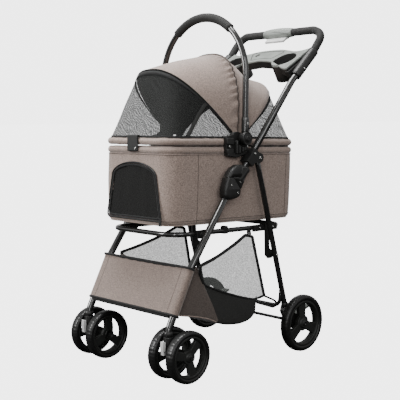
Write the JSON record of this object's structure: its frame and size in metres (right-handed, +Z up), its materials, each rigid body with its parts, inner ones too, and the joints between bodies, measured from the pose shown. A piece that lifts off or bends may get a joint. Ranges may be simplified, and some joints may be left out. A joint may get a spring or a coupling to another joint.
{
  "type": "pet_stroller",
  "caption": "Folding pet stroller with a lift-off fabric carrier, mesh canopy, swivelling twin front wheels, under-basket and cup tray",
  "frame": {"origin": "on the floor, under the middle of the stroller's bounding box", "axes": "+Z up, the stroller rolls towards -Y and is pushed from +Y, +X is the pusher's left"},
  "size_m": [0.4866, 0.724, 1.0638],
  "materials": {
    "gloss_black_tube": "gloss",
    "black_plastic": "satin",
    "gloss_black_plastic": "gloss",
    "grey_plastic": "satin",
    "white_plastic": "satin",
    "wheel_rubber": "matte",
    "foam": "matte",
    "brown_fabric": "heather weave",
    "black_mesh": "open mesh",
    "mat_fabric": "quilted"
  },
  "bodies": {
    "rear_frame": {"rear_frame": "gloss_black_tube", "rear_axle": "gloss_black_tube", "rear_hub_left": "black_plastic", "rear_hub_right": "black_plastic"},
    "upper_frame": {"handle_tube": "gloss_black_tube", "foam_grip_left": "foam", "foam_grip_right": "foam", "release_housing": "grey_plastic", "tray_top": "grey_plastic", "tray_body": "gloss_black_plastic", "upper_knuckle_left": "black_plastic", "upper_knuckle_right": "black_plastic", "frame_bracket_left": "black_plastic", "frame_bracket_right": "black_plastic"},
    "release_trigger": {"release_trigger": "white_plastic"},
    "tray_lid": {"tray_lid": "grey_plastic"},
    "front_frame": {"front_leg_left": "gloss_black_tube", "front_leg_right": "gloss_black_tube", "lower_knuckle_left": "black_plastic", "lower_knuckle_right": "black_plastic", "caster_housing_left": "black_plastic", "caster_housing_right": "black_plastic", "panel_bar_lower": "gloss_black_tube", "panel_bar_upper": "gloss_black_tube", "front_panel": "brown_fabric", "basket": "black_mesh"},
    "seat_ring": {"seat_ring": "gloss_black_tube", "ring_link_left": "black_plastic", "ring_link_right": "black_plastic", "ring_bracket_left": "black_plastic", "ring_bracket_right": "black_plastic"},
    "carrier": {"carrier_tub": "brown_fabric", "floor_mat": "mat_fabric", "lower_rim": "brown_fabric", "upper_rim": "brown_fabric", "front_clip": "black_plastic", "side_block_left": "black_plastic", "side_block_right": "black_plastic", "canopy": "brown_fabric"},
    "door_flap": {"door_flap": "black_mesh"},
    "arch_handle": {"arch_handle": "gloss_black_tube", "arch_grip": "foam"},
    "front_bow": {"front_bow": "gloss_black_tube", "front_mesh": "black_mesh"},
    "rear_bow": {"rear_bow": "gloss_black_tube", "rear_mesh": "black_mesh"},
    "brake_pedal_left": {"brake_pedal_left": "grey_plastic"},
    "rear_wheel_left": {"rear_wheel_left": "wheel_rubber"},
    "caster_left": {"caster_fork_left": "black_plastic"},
    "swivel_lock_left": {"swivel_lock_left": "white_plastic"},
    "arch_button_left": {"arch_button_left": "black_plastic"},
    "front_wheel_left_outer": {"front_wheel_left_outer": "wheel_rubber"},
    "front_wheel_left_inner": {"front_wheel_left_inner": "wheel_rubber"},
    "brake_pedal_right": {"brake_pedal_right": "grey_plastic"},
    "rear_wheel_right": {"rear_wheel_right": "wheel_rubber"},
    "caster_right": {"caster_fork_right": "black_plastic"},
    "swivel_lock_right": {"swivel_lock_right": "white_plastic"},
    "arch_button_right": {"arch_button_right": "black_plastic"},
    "front_wheel_right_outer": {"front_wheel_right_outer": "wheel_rubber"},
    "front_wheel_right_inner": {"front_wheel_right_inner": "wheel_rubber"}
  },
  "joints": [
    {"name": "fold", "type": "hinge", "parent": "rear_frame", "child": "upper_frame", "pos_m": [0, 0.033, 0.62], "axis": [-1, 0, 0], "range_deg": [0, 95.35], "deforming": ["basket"]},
    {"name": "front_fold", "type": "hinge", "parent": "upper_frame", "child": "front_frame", "pos_m": [0, -0.062, 0.52], "axis": [1, 0, 0], "range_deg": [0, 140.1], "deforming": ["basket"]},
    {"name": "ring_fold", "type": "hinge", "parent": "rear_frame", "child": "seat_ring", "pos_m": [0, 0.117, 0.315], "axis": [-1, 0, 0], "range_deg": [0, 38.5]},
    {"name": "carrier_lift", "type": "slide", "parent": "rear_frame", "child": "carrier", "axis": [0, -0.8, 0.6], "range_m": [0, 0.525]},
    {"name": "release_trigger", "type": "hinge", "parent": "upper_frame", "child": "release_trigger", "pos_m": [0, 0.346, 1.008], "axis": [-1, 0, 0], "range_deg": [0, 12], "stiffness_Nm_per_rad": 1, "springref_deg": -5.73},
    {"name": "tray_lid", "type": "hinge", "parent": "upper_frame", "child": "tray_lid", "pos_m": [0, 0.3007, 0.9616], "axis": [-1, 0, 0], "range_deg": [0, 100]},
    {"name": "arch_fold", "type": "hinge", "parent": "carrier", "child": "arch_handle", "pos_m": [0, -0.01573, 0.67896], "axis": [1, 0, 0], "range_deg": [0, 66]},
    {"name": "front_bow", "type": "hinge", "parent": "carrier", "child": "front_bow", "pos_m": [0, -0.0426, 0.6846], "axis": [-1, 0, 0], "range_deg": [0, 42], "deforming": ["canopy", "front_mesh"]},
    {"name": "rear_bow", "type": "hinge", "parent": "carrier", "child": "rear_bow", "pos_m": [0, 0.0054, 0.6834], "axis": [1, 0, 0], "range_deg": [0, 38], "deforming": ["canopy", "rear_mesh"]},
    {"name": "door_flap", "type": "hinge", "parent": "carrier", "child": "door_flap", "pos_m": [0, -0.2954, 0.4487], "axis": [1, 0, 0], "range_deg": [0, 150]},
    {"name": "brake_pedal_left", "type": "hinge", "parent": "rear_frame", "child": "brake_pedal_left", "pos_m": [0.188, 0.229, 0.112], "axis": [-1, 0, 0], "range_deg": [0, 15]},
    {"name": "rear_wheel_left", "type": "hinge", "parent": "rear_frame", "child": "rear_wheel_left", "pos_m": [0.22, 0.207, 0.09], "axis": [1, 0, 0], "continuous": true},
    {"name": "caster_swivel_left", "type": "hinge", "parent": "front_frame", "child": "caster_left", "pos_m": [0.188, -0.326, 0.1075], "axis": [0, 0, 1], "continuous": true},
    {"name": "swivel_lock_left", "type": "hinge", "parent": "caster_left", "child": "swivel_lock_left", "pos_m": [0.188, -0.3455, 0.09], "axis": [1, 0, 0], "range_deg": [0, 20]},
    {"name": "arch_button_left", "type": "slide", "parent": "arch_handle", "child": "arch_button_left", "axis": [-1, 0, 0], "range_m": [0, 0.003], "stiffness_N_per_m": 500, "springref_m": -0.002},
    {"name": "front_wheel_left_outer", "type": "hinge", "parent": "caster_left", "child": "front_wheel_left_outer", "pos_m": [0.2263, -0.287, 0.075], "axis": [1, 0, 0], "continuous": true},
    {"name": "front_wheel_left_inner", "type": "hinge", "parent": "caster_left", "child": "front_wheel_left_inner", "pos_m": [0.1497, -0.287, 0.075], "axis": [1, 0, 0], "continuous": true},
    {"name": "brake_pedal_right", "type": "hinge", "parent": "rear_frame", "child": "brake_pedal_right", "pos_m": [-0.188, 0.229, 0.112], "axis": [-1, 0, 0], "range_deg": [0, 15]},
    {"name": "rear_wheel_right", "type": "hinge", "parent": "rear_frame", "child": "rear_wheel_right", "pos_m": [-0.22, 0.207, 0.09], "axis": [1, 0, 0], "continuous": true},
    {"name": "caster_swivel_right", "type": "hinge", "parent": "front_frame", "child": "caster_right", "pos_m": [-0.188, -0.326, 0.1075], "axis": [0, 0, 1], "continuous": true},
    {"name": "swivel_lock_right", "type": "hinge", "parent": "caster_right", "child": "swivel_lock_right", "pos_m": [-0.188, -0.3455, 0.09], "axis": [1, 0, 0], "range_deg": [0, 20]},
    {"name": "arch_button_right", "type": "slide", "parent": "arch_handle", "child": "arch_button_right", "axis": [1, 0, 0], "range_m": [0, 0.003], "stiffness_N_per_m": 500, "springref_m": -0.002},
    {"name": "front_wheel_right_outer", "type": "hinge", "parent": "caster_right", "child": "front_wheel_right_outer", "pos_m": [-0.2263, -0.287, 0.075], "axis": [1, 0, 0], "continuous": true},
    {"name": "front_wheel_right_inner", "type": "hinge", "parent": "caster_right", "child": "front_wheel_right_inner", "pos_m": [-0.1497, -0.287, 0.075], "axis": [1, 0, 0], "continuous": true}
  ],
  "couplings": [
    {"joint": "front_fold", "follows": "fold", "ratio": 1.4682},
    {"joint": "ring_fold", "follows": "fold", "ratio": 0.40211},
    {"joint": "carrier_lift", "follows": "fold", "m_per_rad": 0.31513}
  ]
}
